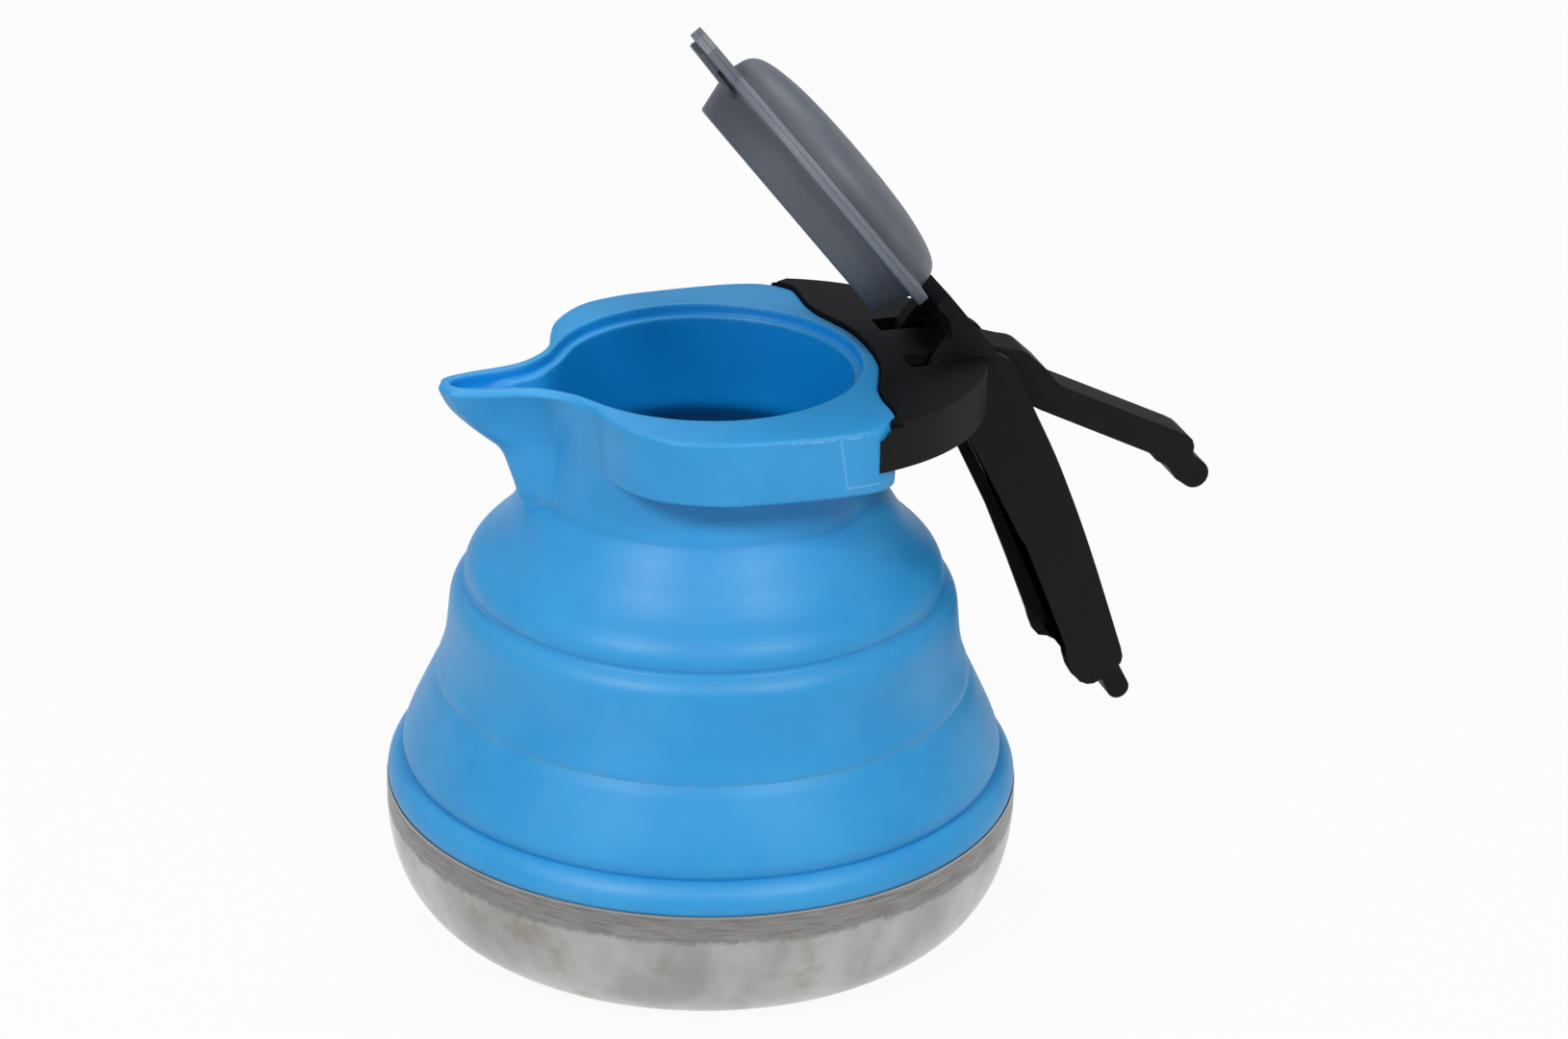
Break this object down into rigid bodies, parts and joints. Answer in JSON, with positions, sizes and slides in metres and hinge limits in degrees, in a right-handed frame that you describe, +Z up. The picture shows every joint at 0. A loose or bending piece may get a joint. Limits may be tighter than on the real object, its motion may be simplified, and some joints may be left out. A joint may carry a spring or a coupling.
{
  "type": "collapsible kettle",
  "caption": "Collapsible kettle with a steel bowl, folding silicone body, pouring spout, hinged plug lid and folding two-arm handle.",
  "frame": {"origin": "centre of the steel bowl's flat underside", "axes": "+Z up, +X from the spout towards the handle"},
  "size_m": [0.213, 0.1606, 0.2324],
  "materials": {
    "steel": "satin polished with a brushed upper band",
    "silicone": "matte silicone, sky blue",
    "black_plastic": "fine satin grain",
    "grey_plastic": "satin moulded"
  },
  "bodies": {
    "base": {"base_bowl": "steel", "clamp_ring": "black_plastic", "silicone_foot": "silicone"},
    "fold_lower": {"silicone_fold_lower": "silicone"},
    "fold_upper": {"silicone_fold_upper": "silicone"},
    "top": {"silicone_shoulder": "silicone", "collar_cover": "black_plastic", "collar_base": "black_plastic", "collar_screws": "steel", "lid_hinge_pin": "steel", "handle_pin": "steel"},
    "lid": {"lid_top": "grey_plastic", "lid_plug": "grey_plastic", "lid_bracket": "black_plastic", "lid_screws": "steel"},
    "outer_arm": {"handle_outer_arm": "black_plastic", "handle_cross_pin": "black_plastic"},
    "inner_arm": {"handle_inner_arm": "black_plastic"}
  },
  "joints": [
    {"name": "collapse", "type": "slide", "parent": "base", "child": "fold_lower", "axis": [0, 0, -1], "range_m": [0, 0.018]},
    {"name": "collapse_upper", "type": "slide", "parent": "fold_lower", "child": "fold_upper", "axis": [0, 0, -1], "range_m": [0, 0.018]},
    {"name": "collapse_shoulder", "type": "slide", "parent": "fold_upper", "child": "top", "axis": [0, 0, -1], "range_m": [0, 0.018]},
    {"name": "lid_hinge", "type": "hinge", "parent": "top", "child": "lid", "pos_m": [0.058, 0, 0.14], "axis": [0, 1, 0], "range_deg": [-51.2, 0]},
    {"name": "handle_hinge", "type": "hinge", "parent": "top", "child": "outer_arm", "pos_m": [0.0686, 0, 0.1393], "axis": [0, 1, 0], "range_deg": [-45, 0]},
    {"name": "inner_arm_hinge", "type": "hinge", "parent": "outer_arm", "child": "inner_arm", "pos_m": [0.0686, 0, 0.1393], "axis": [0, 1, 0], "range_deg": [0, 36]}
  ],
  "couplings": [
    {"joint": "collapse_upper", "follows": "collapse", "ratio": 1},
    {"joint": "collapse_shoulder", "follows": "collapse", "ratio": 1}
  ]
}
